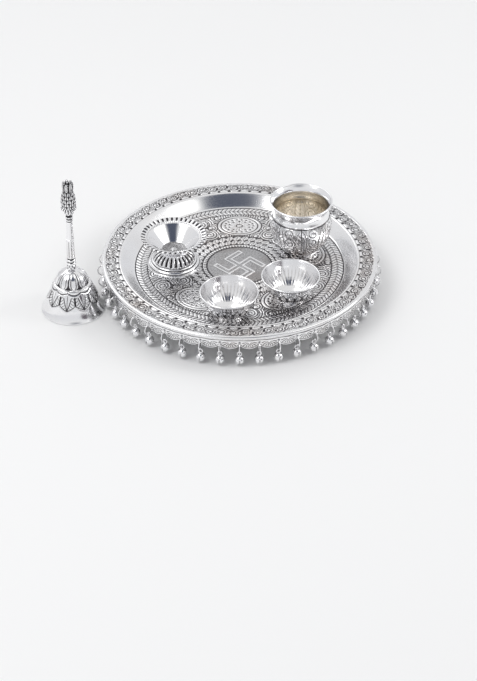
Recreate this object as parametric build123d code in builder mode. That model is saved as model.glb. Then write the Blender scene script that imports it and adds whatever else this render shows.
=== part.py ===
from build123d import *
from math import acos, cos, degrees, pi, radians, sin
import os

# A puja thali set in silver-plated sheet metal: a footed tray with a fringe of jingle bells round its edge,
# and on it a water pot (kalash), an oil lamp (diya) and two bowls, with a hand bell standing beside it.
# Millimetres, +Z up. The origin is the middle of the set's footprint, on the surface that it stands on.

# Shared fits
clearance = 0.3  # between pieces that move on each other, and round the wire in the curl
tenon_gap = 0.05  # round a rivet or tenon in its hole
overrun = 1.0  # how far a cut runs past the face that it leaves

# Tray
tray_radius = 127.0  # to the outside of the curled edge
tray_sheet = 0.8
flange_width = 16.4  # from the middle of the curl in to the top of the wall
wall_run = 11.0  # how far the wall slopes outwards, in plan
dish_depth = 9.5  # from the floor up to the flange
floor_bend_radius = 5.0
flange_bend_radius = 4.0
bead_radius = 1.6  # outside of the curl
bead_wrap_angle = 250.0

# Foot ring under the tray
foot_height = 20.5
foot_inset = 18.0  # from the edge of the tray's floor in to the foot's top
foot_flare = 6.0  # how far the foot spreads on its way down
foot_lip = 6.0
foot_sheet = 1.0
foot_bend_radius = 2.0

# Scalloped skirt below the edge
skirt_thickness = 0.6
skirt_depth = 9.8  # at the lowest point of a scallop
scallop_depth = 3.6  # from the notch between two scallops down to the lowest point
hole_drop = 3.3  # from the skirt's top to the centre of a hole
hole_radius = 1.1
pendant_count = 45
first_pendant_angle = -90.0
notch_overlap_share = 0.2  # of half a scallop

# Pendants: a jump ring, a jingle bell with its loop, and a pellet
ring_outer_radius = 6.2
ring_wire_radius = 0.5
loop_inner_radius = 1.4
loop_wire_radius = 0.55
loop_sink = 0.5  # how far the loop is let into the bell's crown
jingle_radius = 4.4
jingle_wall = 0.6
slit_width = 1.0
slit_mouth_width = 2.6
slit_rise = 1.2  # from the middle of the bell up to the slit's end
pellet_radius = 1.4

# Water pot
kalash_height = 51.6
kalash_rim_radius = 29.3
kalash_neck_radius = 25.0
kalash_neck_height = 43.0
kalash_belly_radius = 28.9
kalash_belly_height = 29.0
kalash_base_radius = 16.5
kalash_wall = 1.0
kalash_wall_gap = 4.2  # from the belly to the edge of the tray's floor, in plan
kalash_rim_bead_radius = 0.9

# Oil lamp
diya_base_radius = 24.7
diya_base_edge = 1.6
diya_step_radius = 22.2
diya_step_height = 3.4
diya_dome_radius = 20.2
diya_waist_radius = 10.5
diya_waist_height = 15.0
diya_dome_bulge = 2.6
diya_sheet = 0.9
diya_flute_count = 24
diya_flute_radius = 1.3
diya_flute_run_shares = (0.06, 0.42, 0.78)  # of the dome's line, from its foot
diya_cup_floor_radius = 10.0
diya_mouth_radius = 24.0
diya_mouth_height = 28.0
diya_flange_radius = 30.5
diya_flange_height = 30.6
diya_cup_bend_radius = 3.5
diya_mouth_bend_radius = 2.5
diya_tooth_count = 40
diya_tooth_radius = 1.0
diya_rivet_radius = 1.6
diya_rivet_head_radius = 3.2
diya_rivet_head_height = 1.1
diya_wall_gap = 6.9  # from the flange to the edge of the tray's floor, in plan

# Two bowls
bowl_height = 24.0
bowl_lip_radius = 26.8
bowl_lip_bead_radius = 0.8
bowl_foot_radius = 13.0
bowl_foot_height = 2.6
bowl_foot_wall = 1.2
bowl_wall = 0.9
bowl_flute_count = 20
bowl_flute_radius = 2.6
bowl_flute_sink = 1.7  # from the bowl's outside in to the middle of a petal
bowl_flute_run_shares = (0.14, 0.38, 0.6)  # of the bowl's line, from its foot
bowl_left_wall_gap = 8.3  # from the foot to the edge of the tray's floor
bowl_right_wall_gap = 16.3

# Layout round the tray: left bowl, right bowl, water pot and oil lamp in turn
bowl_left_bearing = -97.0
vessel_gap = 2.0  # the least between neighbours, in plan
spare_turn_shares = (0.235, 0.03, 0.16, 0.575)  # of the turn left over, before each vessel

# Hand bell
bell_gap = 1.0  # from the tray's edge to the bell's mouth, in plan
bell_bearing = 193.8
bell_mouth_radius = 29.0
bell_lip_height = 1.3
bell_lip_width = 2.2
bell_waist_radius = 22.4
bell_waist_height = 16.5
bell_tier_radius = 17.2
bell_tier_height = 29.0
bell_dome_radius = 15.6
bell_crown_radius = 4.8
bell_crown_height = 42.0
bell_wall = 1.4
handle_tenon_radius = 1.8
handle_neck_radius = 2.5
handle_bulb_height = 7.0
handle_bulb_swell = 1.8
handle_groove_height = 1.2
handle_collar_radius = 4.4
handle_collar_height = 2.2
handle_shaft_foot_radius = 3.7
handle_shaft_top_radius = 2.8
handle_lower_height = 19.0
handle_band_radius = 3.6
handle_band_height = 1.0
handle_upper_height = 19.0
handle_ring_radius = 3.4
handle_ring_height = 1.5
handle_knop_height = 6.7
handle_knop_swell = 2.0
finial_flange_radius = 7.0
finial_flange_height = 2.0
finial_body_radius = 6.2
finial_body_height = 17.0
finial_shoulder_radius = 4.6
finial_leaf_count = 7
finial_leaf_radius = 2.6
finial_leaf_tip_radius = 0.7
finial_leaf_height = 10.5
finial_leaf_lean = 9.0
finial_leaf_circle = 2.7
finial_leaf_sink = 1.5  # how far a leaf is let into the bud
finial_bore_depth = 6.0

# Clapper and its staple
staple_plate_radius = 4.5
staple_plate_height = 2.0
staple_wire_radius = 0.8
staple_bend_radius = 1.4
staple_leg_spread = 7.0
staple_drop = 6.0  # from the plate down to the cross bar
clapper_eye_width = 2.4
clapper_eye_wall = 0.9
clapper_rod_radius = 1.1
clapper_length = 23.0  # from the cross bar to the middle of the ball
clapper_ball_radius = 4.2

# Heights worked out from the sizes above
floor_z = foot_height + tray_sheet
rim_z = floor_z + dish_depth
bead_z = rim_z - bead_radius
skirt_top_z = bead_z - bead_radius
hole_z = skirt_top_z - hole_drop
skirt_bottom_z = skirt_top_z - skirt_depth
notch_z = skirt_bottom_z + scallop_depth

# Places in plan, first round the tray's axis and then in the set's own frame
edge_radius = tray_radius - bead_radius
flange_inner_radius = edge_radius - flange_width
floor_radius = flange_inner_radius - wall_run
foot_top_radius = floor_radius - foot_inset
foot_radius = foot_top_radius + foot_flare
fringe_reach = edge_radius + ring_outer_radius
bell_distance = tray_radius + bell_gap + bell_mouth_radius
set_left = bell_mouth_radius - bell_distance * cos(radians(bell_bearing))
tray_x = (set_left - fringe_reach) / 2


def tray_place(distance, bearing):
    """Point in plan at a distance and a bearing from the tray's axis."""
    return tray_x + distance * cos(radians(bearing)), distance * sin(radians(bearing))


def turn_between(distance, next_distance, spacing):
    """Angle at the tray's axis between two places that are a spacing apart."""
    return degrees(acos((distance**2 + next_distance**2 - spacing**2) / (2 * distance * next_distance)))


# Each vessel stands off the edge of the floor, and neighbours share out the turn that they don't need
vessel_distances = (
    floor_radius - bowl_foot_radius - bowl_left_wall_gap,
    floor_radius - bowl_foot_radius - bowl_right_wall_gap,
    floor_radius - kalash_belly_radius - kalash_wall_gap,
    floor_radius - diya_flange_radius - diya_wall_gap,
)
vessel_radii = (
    bowl_lip_radius,
    bowl_lip_radius,
    max(kalash_rim_radius, kalash_belly_radius),
    max(diya_flange_radius, diya_base_radius),
)
vessel_spacings = [vessel_radii[k - 1] + vessel_radii[k] + vessel_gap for k in range(len(vessel_radii))]
least_turns = [
    turn_between(vessel_distances[k - 1], vessel_distances[k], spacing)
    for k, spacing in enumerate(vessel_spacings)
]
spare_turn = 360 - sum(least_turns)
vessel_turns = [least + spare_turn * share for least, share in zip(least_turns, spare_turn_shares)]
bowl_left_place, bowl_right_place, kalash_place, diya_place = (
    tray_place(distance, bowl_left_bearing + sum(vessel_turns[1:k + 1]))
    for k, distance in enumerate(vessel_distances)
)
bell_place = tray_place(bell_distance, bell_bearing)


def section_plane(place, z):
    """Upright plane through an axis, with X outwards and Y up, at a place in plan and a height."""
    return Plane(origin=(*place, z), x_dir=(1, 0, 0), z_dir=(0, -1, 0))


def upright(place):
    """Upright axis at a place in plan."""
    return Axis((*place, 0), (0, 0, 1))


def spun_edges(outline, slopes):
    """Edges of the half section of a spun form, between its axis and an outline that runs upwards."""
    with BuildLine() as half:
        Line((0, outline[0][1]), outline[0])
        Spline(*outline, tangents=slopes)
        Polyline(outline[-1], (0, outline[-1][1]), (0, outline[0][1]))
    return half.edges()


tray_centre = (tray_x, 0)
tray_section = section_plane(tray_centre, 0)
tray_axis = upright(tray_centre)
pendant_angles = [first_pendant_angle + k * 360 / pendant_count for k in range(pendant_count)]

# Pressed tray: floor, sloped wall, flat flange, and the edge curled over its wire
with BuildPart() as thali_tray:
    with BuildSketch(tray_section):
        with BuildLine():
            FilletPolyline(
                (0, floor_z),
                (floor_radius, floor_z),
                (flange_inner_radius, rim_z),
                (edge_radius, rim_z),
                radius=(floor_bend_radius, flange_bend_radius),
            )
            CenterArc((edge_radius, bead_z), bead_radius, 90, -bead_wrap_angle)
            offset(amount=tray_sheet, side=Side.RIGHT)
        make_face()
    revolve(axis=tray_axis)

# Wire shut inside the curl
with BuildPart(Plane(origin=(*tray_centre, bead_z))) as rim_wire:
    Torus(edge_radius, bead_radius - tray_sheet - clearance)

# Foot ring: a flared band with a lip under the tray's floor and a lip on the surface that it stands on
with BuildPart() as foot_ring:
    with BuildSketch(tray_section):
        with BuildLine():
            FilletPolyline(
                (foot_top_radius - foot_lip, foot_height),
                (foot_top_radius, foot_height),
                (foot_radius, 0),
                (foot_radius - foot_lip, 0),
                radius=foot_bend_radius,
            )
            offset(amount=foot_sheet, side=Side.RIGHT)
        make_face()
    revolve(axis=tray_axis)

# Skirt: a strip under the curl, notched between its scallops, with a hole over each notch
scallop_half = pi * edge_radius / pendant_count
scallop_radius = (scallop_half**2 + scallop_depth**2) / (2 * scallop_depth)
notch_half = scallop_half * (1 + notch_overlap_share)
notch_run = notch_half - scallop_half
notch_end_z = skirt_bottom_z + scallop_radius - (scallop_radius**2 - notch_run**2) ** 0.5
notch_planes = [
    Plane(
        origin=(*tray_place(edge_radius, angle), 0),
        x_dir=(-sin(radians(angle)), cos(radians(angle)), 0),
        z_dir=(cos(radians(angle)), sin(radians(angle)), 0),
    )
    for angle in pendant_angles
]
with BuildPart() as scalloped_skirt:
    with BuildSketch(tray_section):
        with Locations((edge_radius, skirt_top_z)):
            Rectangle(skirt_thickness, skirt_depth + overrun, align=(Align.CENTER, Align.MAX))
    revolve(axis=tray_axis)
    with BuildSketch(*notch_planes):
        with BuildLine():
            ThreePointArc((-notch_half, notch_end_z), (-scallop_half, skirt_bottom_z), (0, notch_z))
            ThreePointArc((0, notch_z), (scallop_half, skirt_bottom_z), (notch_half, notch_end_z))
            Polyline(
                (notch_half, notch_end_z),
                (notch_half, skirt_bottom_z - overrun - overrun),
                (-notch_half, skirt_bottom_z - overrun - overrun),
                (-notch_half, notch_end_z),
            )
        make_face()
        with Locations((0, hole_z)):
            Circle(hole_radius)
    extrude(amount=skirt_thickness + overrun, both=True, mode=Mode.SUBTRACT)

# One pendant, with its hole's centre at the origin, X outwards from the tray and Z up
ring_radius = ring_outer_radius - ring_wire_radius
ring_z = ring_wire_radius + clearance - hole_radius - ring_radius
loop_z = ring_z - ring_radius + ring_wire_radius + clearance - loop_inner_radius
jingle_z = loop_z - loop_inner_radius - loop_wire_radius - loop_wire_radius + loop_sink - jingle_radius
jingle_inside = jingle_radius - jingle_wall
pellet_z = jingle_z - jingle_inside + clearance + pellet_radius

with BuildPart(Plane(origin=(0, 0, ring_z), z_dir=(0, 1, 0))) as jump_ring:
    Torus(ring_radius, ring_wire_radius)

with BuildPart(Plane(origin=(0, 0, jingle_z))) as jingle_bell:
    Sphere(jingle_radius)
    with Locations(Location((0, 0, loop_z - jingle_z), (0, 90, 0))):
        Torus(loop_inner_radius + loop_wire_radius, loop_wire_radius)
    Sphere(jingle_inside, mode=Mode.SUBTRACT)
    with BuildSketch(Plane(origin=(0, 0, jingle_z), x_dir=(1, 0, 0), z_dir=(0, -1, 0)),
                     Plane(origin=(0, 0, jingle_z), x_dir=(0, 1, 0), z_dir=(1, 0, 0))):
        with BuildLine():
            Polyline(
                (-slit_width / 2, slit_rise),
                (slit_width / 2, slit_rise),
                (slit_mouth_width / 2, -jingle_radius - overrun),
                (-slit_mouth_width / 2, -jingle_radius - overrun),
                close=True,
            )
        make_face()
        with Locations((0, slit_rise)):
            Circle(slit_width / 2)
    extrude(amount=jingle_radius + overrun, both=True, mode=Mode.SUBTRACT)

with BuildPart(Plane(origin=(0, 0, pellet_z))) as pellet:
    Sphere(pellet_radius)

# Water pot: a full belly on a small flat base, a drawn-in neck and a flared rim with a rolled edge
kalash_section = section_plane(kalash_place, floor_z)
kalash_top = (kalash_rim_radius - kalash_rim_bead_radius, kalash_height - kalash_rim_bead_radius)
kalash_slopes = ((1, 0.9), (0, 1), (0, 1), (1, 1))
with BuildPart() as kalash:
    with BuildSketch(kalash_section):
        make_face(spun_edges(
            (
                (kalash_base_radius, 0),
                (kalash_belly_radius, kalash_belly_height),
                (kalash_neck_radius, kalash_neck_height),
                kalash_top,
            ),
            kalash_slopes,
        ))
    revolve(axis=upright(kalash_place))
    with BuildSketch(kalash_section):
        make_face(spun_edges(
            (
                (kalash_base_radius - kalash_wall, kalash_wall),
                (kalash_belly_radius - kalash_wall, kalash_belly_height),
                (kalash_neck_radius - kalash_wall, kalash_neck_height),
                (kalash_top[0] - kalash_wall, kalash_top[1]),
            ),
            kalash_slopes,
        ))
    revolve(axis=upright(kalash_place), mode=Mode.SUBTRACT)
    with BuildSketch(kalash_section):
        with Locations(kalash_top):
            Circle(kalash_rim_bead_radius)
    revolve(axis=upright(kalash_place))

# Oil lamp: a stepped base with a fluted dome, and a cup with a toothed flange riveted on top of it
diya_section = section_plane(diya_place, floor_z)
diya_axis = upright(diya_place)
dome_foot = (diya_dome_radius, diya_step_height)
dome_top = (diya_waist_radius, diya_waist_height)
cup_floor_height = diya_waist_height + diya_sheet
rivet_hole_radius = diya_rivet_radius + tenon_gap

with BuildPart() as dome_flute:
    with BuildLine(Plane.XZ):
        dome_line = SagittaArc(dome_foot, dome_top, -diya_dome_bulge, mode=Mode.PRIVATE)
        flute_path = ThreePointArc(*(dome_line @ share for share in diya_flute_run_shares))
    with BuildSketch(Plane(origin=flute_path @ 0, z_dir=flute_path % 0)):
        Circle(diya_flute_radius)
    sweep()

with BuildPart(Plane(origin=(*diya_place, floor_z))) as diya_base:
    with BuildSketch(diya_section):
        with BuildLine():
            Polyline(
                (diya_base_radius, 0),
                (diya_base_radius, diya_base_edge),
                (diya_step_radius, diya_step_height),
                dome_foot,
            )
            SagittaArc(dome_foot, dome_top, -diya_dome_bulge)
            Line(dome_top, (0, diya_waist_height))
            offset(amount=diya_sheet, side=Side.LEFT)
        make_face()
    revolve(axis=diya_axis)
    with PolarLocations(0, diya_flute_count):
        add(dome_flute.part)
    with BuildSketch(Plane(origin=(*diya_place, floor_z + diya_waist_height))):
        Circle(rivet_hole_radius)
    extrude(amount=diya_sheet + overrun, both=True, mode=Mode.SUBTRACT)

with BuildPart() as diya_cup:
    with BuildSketch(diya_section):
        with BuildLine():
            FilletPolyline(
                (0, diya_waist_height),
                (diya_cup_floor_radius, diya_waist_height),
                (diya_mouth_radius, diya_mouth_height),
                (diya_flange_radius, diya_flange_height),
                radius=(diya_cup_bend_radius, diya_mouth_bend_radius),
            )
            offset(amount=diya_sheet, side=Side.LEFT)
        make_face()
    revolve(axis=diya_axis)
    with BuildSketch(Plane(origin=(*diya_place, floor_z + diya_waist_height))):
        Circle(rivet_hole_radius)
    extrude(amount=diya_sheet + overrun, both=True, mode=Mode.SUBTRACT)
    with BuildSketch(Plane(origin=(*diya_place, floor_z + diya_flange_height))):
        with PolarLocations(diya_flange_radius, diya_tooth_count):
            Circle(diya_tooth_radius)
    extrude(amount=diya_flange_height - diya_mouth_height, both=True, mode=Mode.SUBTRACT)

with BuildPart() as diya_rivet:
    with BuildSketch(diya_section):
        with BuildLine():
            Polyline(
                (0, cup_floor_height + diya_rivet_head_height),
                (0, diya_waist_height - diya_sheet - diya_rivet_head_height),
                (diya_rivet_head_radius, diya_waist_height - diya_sheet - diya_rivet_head_height),
                (diya_rivet_head_radius, diya_waist_height - diya_sheet),
                (diya_rivet_radius, diya_waist_height - diya_sheet),
                (diya_rivet_radius, cup_floor_height),
                (diya_rivet_head_radius, cup_floor_height),
            )
            TangentArc(
                (0, cup_floor_height + diya_rivet_head_height),
                (diya_rivet_head_radius, cup_floor_height),
                tangent=(1, 0),
            )
        make_face()
    revolve(axis=diya_axis)

# Bowls: one form, a petalled round bowl on a foot with a rolled lip, set down twice
bowl_top = (bowl_lip_radius - bowl_lip_bead_radius, bowl_height - bowl_lip_bead_radius)
bowl_slopes = ((1, 0.6), (0.35, 1))
with BuildPart() as bowl_petal:
    with BuildLine(Plane.XZ):
        petal_line = Spline(
            (bowl_foot_radius - bowl_flute_sink, bowl_foot_height),
            (bowl_top[0] - bowl_flute_sink, bowl_top[1]),
            tangents=bowl_slopes,
            mode=Mode.PRIVATE,
        )
        petal_path = ThreePointArc(*(petal_line @ share for share in bowl_flute_run_shares))
    with BuildSketch(Plane(origin=petal_path @ 0, z_dir=petal_path % 0)):
        Circle(bowl_flute_radius)
    sweep()

with BuildPart() as bowl_form:
    with BuildSketch(Plane.XZ):
        make_face(spun_edges(((bowl_foot_radius, bowl_foot_height), bowl_top), bowl_slopes))
    revolve(axis=Axis.Z)
    with PolarLocations(0, bowl_flute_count):
        add(bowl_petal.part)
    with BuildSketch(Plane.XZ):
        make_face(spun_edges(
            (
                (bowl_foot_radius - bowl_wall, bowl_foot_height + bowl_wall),
                (bowl_top[0] - bowl_wall, bowl_top[1]),
            ),
            bowl_slopes,
        ))
    revolve(axis=Axis.Z, mode=Mode.SUBTRACT)
    with BuildSketch(Plane.XZ):
        with Locations(bowl_top):
            Circle(bowl_lip_bead_radius)
        with Locations((bowl_foot_radius, 0)):
            Rectangle(bowl_foot_wall, bowl_foot_height + bowl_wall / 2, align=(Align.MAX, Align.MIN))
    revolve(axis=Axis.Z)

with BuildPart(Plane(origin=(*bowl_left_place, floor_z))) as bowl_left:
    add(bowl_form.part)

with BuildPart(Plane(origin=(*bowl_right_place, floor_z))) as bowl_right:
    add(bowl_form.part)

# Hand bell: a flared cup in two tiers
bell_section = section_plane(bell_place, 0)
bell_axis = upright(bell_place)
crown_inside_height = bell_crown_height - bell_wall
bell_skirt_slopes = ((-1, 1), (-0.4, 1), (-0.35, 1))
bell_inside_slopes = ((-1, 1), (-0.45, 1), (-0.35, 1))
bell_dome_slopes = ((-0.1, 1), (-1, 0.25))
with BuildPart() as bell_body:
    with BuildSketch(bell_section):
        with BuildLine():
            Polyline((0, 0), (bell_mouth_radius, 0), (bell_mouth_radius, bell_lip_height))
            Spline(
                (bell_mouth_radius, bell_lip_height),
                (bell_waist_radius, bell_waist_height),
                (bell_tier_radius, bell_tier_height),
                tangents=bell_skirt_slopes,
            )
            Line((bell_tier_radius, bell_tier_height), (bell_dome_radius, bell_tier_height))
            Spline(
                (bell_dome_radius, bell_tier_height),
                (bell_crown_radius, bell_crown_height),
                tangents=bell_dome_slopes,
            )
            Polyline((bell_crown_radius, bell_crown_height), (0, bell_crown_height), (0, 0))
        make_face()
    revolve(axis=bell_axis)
    with BuildSketch(bell_section):
        with BuildLine():
            Line((0, 0), (bell_mouth_radius - bell_lip_width, 0))
            Spline(
                (bell_mouth_radius - bell_lip_width, 0),
                (bell_waist_radius - bell_wall, bell_waist_height),
                (bell_dome_radius - bell_wall, bell_tier_height),
                tangents=bell_inside_slopes,
            )
            Spline(
                (bell_dome_radius - bell_wall, bell_tier_height),
                (bell_crown_radius, crown_inside_height),
                tangents=bell_dome_slopes,
            )
            Polyline((bell_crown_radius, crown_inside_height), (0, crown_inside_height), (0, 0))
        make_face()
    revolve(axis=bell_axis, mode=Mode.SUBTRACT)
    with BuildSketch(Plane(origin=(*bell_place, bell_crown_height))):
        Circle(handle_tenon_radius + tenon_gap)
    extrude(amount=bell_wall + overrun, both=True, mode=Mode.SUBTRACT)

# Turned handle: bulb, two collars, tapered shaft with a band, two rings and a knop, with tenons at its ends
on_base = (Align.CENTER, Align.CENTER, Align.MIN)
plate_bottom = crown_inside_height - staple_plate_height
bulb_top = bell_crown_height + handle_bulb_height
collar_pitch = handle_collar_height + handle_groove_height
shaft_foot = bulb_top + collar_pitch + collar_pitch
band_foot = shaft_foot + handle_lower_height
shaft_top = band_foot + handle_band_height + handle_upper_height
ring_foot = shaft_top + handle_groove_height
ring_pitch = handle_ring_height + handle_groove_height
knop_foot = ring_foot + ring_pitch + ring_pitch
knop_top = knop_foot + handle_knop_height
tenon_top = knop_top + finial_bore_depth - clearance
with BuildPart(Plane(origin=(*bell_place, 0))) as bell_handle:
    with BuildSketch(bell_section):
        with BuildLine():
            Polyline(
                (0, tenon_top),
                (0, plate_bottom),
                (handle_tenon_radius, plate_bottom),
                (handle_tenon_radius, bell_crown_height),
                (handle_neck_radius, bell_crown_height),
            )
            SagittaArc(
                (handle_neck_radius, bell_crown_height),
                (handle_neck_radius, bulb_top),
                -handle_bulb_swell,
            )
            Polyline(
                (handle_neck_radius, bulb_top),
                (handle_neck_radius, shaft_foot),
                (handle_shaft_foot_radius, shaft_foot),
                (handle_shaft_top_radius, shaft_top),
                (handle_neck_radius, shaft_top),
                (handle_neck_radius, knop_foot),
            )
            SagittaArc((handle_neck_radius, knop_foot), (handle_neck_radius, knop_top), -handle_knop_swell)
            Polyline(
                (handle_neck_radius, knop_top),
                (handle_tenon_radius, knop_top),
                (handle_tenon_radius, tenon_top),
                (0, tenon_top),
            )
        make_face()
    revolve(axis=bell_axis)
    with Locations((0, 0, bulb_top), (0, 0, bulb_top + collar_pitch)):
        Cylinder(handle_collar_radius, handle_collar_height, align=on_base)
    with Locations((0, 0, band_foot)):
        Cylinder(handle_band_radius, handle_band_height, align=on_base)
    with Locations((0, 0, ring_foot), (0, 0, ring_foot + ring_pitch)):
        Cylinder(handle_ring_radius, handle_ring_height, align=on_base)

# Finial: a flanged bud under a crown of pointed leaves
flange_top = knop_top + finial_flange_height
body_top = flange_top + finial_body_height
finial_slopes = ((0.3, 1), (-0.5, 1))
with BuildPart() as finial_leaf:
    leaf_foot = (finial_leaf_circle, 0, body_top - finial_leaf_sink)
    with Locations(Location(leaf_foot, (0, finial_leaf_lean, 0))):
        Cone(finial_leaf_radius, finial_leaf_tip_radius, finial_leaf_height, align=on_base)

with BuildPart(Plane(origin=(*bell_place, 0))) as bell_finial:
    with BuildSketch(bell_section):
        with BuildLine():
            Polyline(
                (0, body_top),
                (0, knop_top),
                (finial_flange_radius, knop_top),
                (finial_flange_radius, flange_top),
                (finial_body_radius, flange_top),
            )
            Spline(
                (finial_body_radius, flange_top),
                (finial_shoulder_radius, body_top),
                tangents=finial_slopes,
            )
            Line((finial_shoulder_radius, body_top), (0, body_top))
        make_face()
    revolve(axis=bell_axis)
    with PolarLocations(0, finial_leaf_count):
        add(finial_leaf.part)
    with BuildSketch(Plane(origin=(*bell_place, knop_top))):
        Circle(handle_tenon_radius + tenon_gap)
    extrude(amount=finial_bore_depth, mode=Mode.SUBTRACT)

# Clapper staple: a plate under the crown and a bent wire with a straight cross bar
pivot_z = plate_bottom - staple_drop
staple_half = staple_leg_spread / 2
staple_top = plate_bottom + staple_plate_height / 2
with BuildPart() as clapper_staple:
    with BuildLine(bell_section):
        staple_path = FilletPolyline(
            (-staple_half, staple_top),
            (-staple_half, pivot_z),
            (staple_half, pivot_z),
            (staple_half, staple_top),
            radius=staple_bend_radius,
        )
    with BuildSketch(Plane(origin=staple_path @ 0, z_dir=staple_path % 0)):
        Circle(staple_wire_radius)
    sweep()
    with BuildSketch(Plane(origin=(*bell_place, plate_bottom))):
        Circle(staple_plate_radius)
        Circle(handle_tenon_radius + tenon_gap, mode=Mode.SUBTRACT)
    extrude(amount=staple_plate_height)

# Clapper: an eye on the cross bar, a rod and a ball
eye_bore_radius = staple_wire_radius + clearance
eye_radius = eye_bore_radius + clapper_eye_wall
ball_z = pivot_z - clapper_length
with BuildPart() as clapper:
    with BuildSketch(Plane(origin=(*bell_place, pivot_z), x_dir=(0, 1, 0), z_dir=(1, 0, 0))):
        Circle(eye_radius)
    extrude(amount=clapper_eye_width / 2, both=True)
    with BuildSketch(Plane(origin=(*bell_place, ball_z))):
        Circle(clapper_rod_radius)
    extrude(amount=clapper_length)
    with Locations((*bell_place, ball_z)):
        Sphere(clapper_ball_radius)
    with BuildSketch(Plane(origin=(*bell_place, pivot_z), x_dir=(0, 1, 0), z_dir=(1, 0, 0))):
        Circle(eye_bore_radius)
    extrude(amount=clapper_eye_width, both=True, mode=Mode.SUBTRACT)

os.makedirs("parts", exist_ok=True)
for piece, name in (
    (thali_tray, "thali_tray"),
    (rim_wire, "rim_wire"),
    (foot_ring, "foot_ring"),
    (scalloped_skirt, "scalloped_skirt"),
    (kalash, "kalash"),
    (diya_base, "diya_base"),
    (diya_cup, "diya_cup"),
    (diya_rivet, "diya_rivet"),
    (bowl_left, "bowl_left"),
    (bowl_right, "bowl_right"),
    (bell_body, "bell_body"),
    (bell_handle, "bell_handle"),
    (bell_finial, "bell_finial"),
    (clapper_staple, "clapper_staple"),
    (clapper, "clapper"),
):
    piece.part.label = name
    export_step(piece.part, f"parts/{name}.step")

for number, angle in enumerate(pendant_angles, start=1):
    with BuildPart() as ghungroo:
        with Locations(Location((*tray_place(edge_radius, angle), hole_z), (0, 0, angle))):
            add((jump_ring.part, jingle_bell.part, pellet.part))
    name = f"ghungroo_{number:02d}"
    ghungroo.part.label = name
    export_step(ghungroo.part, f"parts/{name}.step")
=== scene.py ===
from math import atan2, cos, floor, hypot, pi, radians, sin, sqrt, tau

import bpy
from bpy.props import FloatProperty, FloatVectorProperty, IntProperty, PointerProperty
from bpy.types import Operator, Panel, PropertyGroup
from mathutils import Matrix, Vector


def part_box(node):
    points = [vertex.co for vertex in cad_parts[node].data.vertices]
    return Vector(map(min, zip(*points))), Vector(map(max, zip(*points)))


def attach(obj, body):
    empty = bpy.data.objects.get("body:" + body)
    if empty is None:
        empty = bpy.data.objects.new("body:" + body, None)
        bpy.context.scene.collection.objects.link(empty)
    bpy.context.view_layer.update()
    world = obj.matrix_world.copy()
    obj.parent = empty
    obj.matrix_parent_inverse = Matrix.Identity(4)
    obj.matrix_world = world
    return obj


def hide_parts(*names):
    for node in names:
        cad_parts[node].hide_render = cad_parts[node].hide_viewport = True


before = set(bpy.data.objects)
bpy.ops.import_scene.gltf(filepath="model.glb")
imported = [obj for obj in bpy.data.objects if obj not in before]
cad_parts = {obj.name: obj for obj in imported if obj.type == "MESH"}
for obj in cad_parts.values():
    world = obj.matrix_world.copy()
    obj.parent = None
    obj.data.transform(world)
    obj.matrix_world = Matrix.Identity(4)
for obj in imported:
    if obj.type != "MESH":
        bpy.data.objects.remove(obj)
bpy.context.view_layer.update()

bl_info = {
    "name": "Puja Thali Set",
    "version": (1, 0, 0),
    "blender": (4, 5, 0),
    "location": "View3D > Sidebar > Thali",
    "description": "Chased silver puja thali with its vessels, fringe of ghungroos and hand bell",
    "category": "Add Mesh",
}

MM = 0.001
CREASE = radians(38)
FACES_AXIS = -1e-9
FRINGE = sorted(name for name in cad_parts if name.startswith("ghungroo"))


def foot_of(node):
    """Middle of a CAD node in plan, at the height of its lowest point."""
    low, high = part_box(node)
    return Vector(((low.x + high.x) / 2, (low.y + high.y) / 2, low.z))


def radius_of(node):
    """Largest radius of a round CAD node."""
    low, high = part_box(node)
    return (high.x - low.x) / 2


def height_of(node):
    """Height of a CAD node."""
    low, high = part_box(node)
    return high.z - low.z


class ThaliSizes(PropertyGroup):
    """Sizes and counts of the ornament."""

    sheet: FloatProperty(
        name="Tray Sheet", description="Thickness of the tray's sheet metal",
        default=0.8 * MM, unit="LENGTH")
    chasing: FloatProperty(
        name="Chasing Depth", description="Depth of the ornament on the tray",
        default=0.65 * MM, unit="LENGTH")
    ovals: IntProperty(
        name="Ovals", description="Oval rosettes round the tray's floor", default=5, min=1)
    border_leaves: IntProperty(
        name="Border Leaves", description="Leaves in the floor's border", default=140, min=1)
    wreath_leaves: IntProperty(
        name="Wreath Leaves", description="Leaves round the medallion", default=40, min=1)
    flange_petals: IntProperty(
        name="Flange Petals", description="Petals along the flange", default=72, min=1)
    sign_stroke: FloatProperty(
        name="Sign Stroke", description="Width of the auspicious sign's strokes",
        default=5.6 * MM, unit="LENGTH")
    sign_gap: FloatProperty(
        name="Sign Gap", description="Space between the auspicious sign's strokes",
        default=9 * MM, unit="LENGTH")
    sign_turn: FloatProperty(
        name="Sign Turn", description="Turn of the auspicious sign", default=radians(-43), subtype="ANGLE")
    bowl_petals: IntProperty(
        name="Bowl Petals", description="Petals round a bowl", default=20, min=1)
    dome_flutes: IntProperty(
        name="Dome Flutes", description="Flutes round the lamp's base", default=24, min=1)
    flange_teeth: IntProperty(
        name="Flange Teeth", description="Teeth of the lamp's flange", default=40, min=1)
    kalash_leaves: IntProperty(
        name="Kalash Leaves", description="Leaves round the water pot", default=8, min=1)
    bell_petals: IntProperty(
        name="Bell Petals", description="Petals round the bell", default=9, min=1)
    shaft_flutes: IntProperty(
        name="Shaft Flutes", description="Flutes of the bell's handle", default=8, min=1)
    bud_scales: IntProperty(
        name="Bud Scales", description="Scales in a row of the bell's finial", default=9, min=1)
    crown_leaves: IntProperty(
        name="Crown Leaves", description="Leaves of the finial's crown", default=7, min=1)


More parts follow.
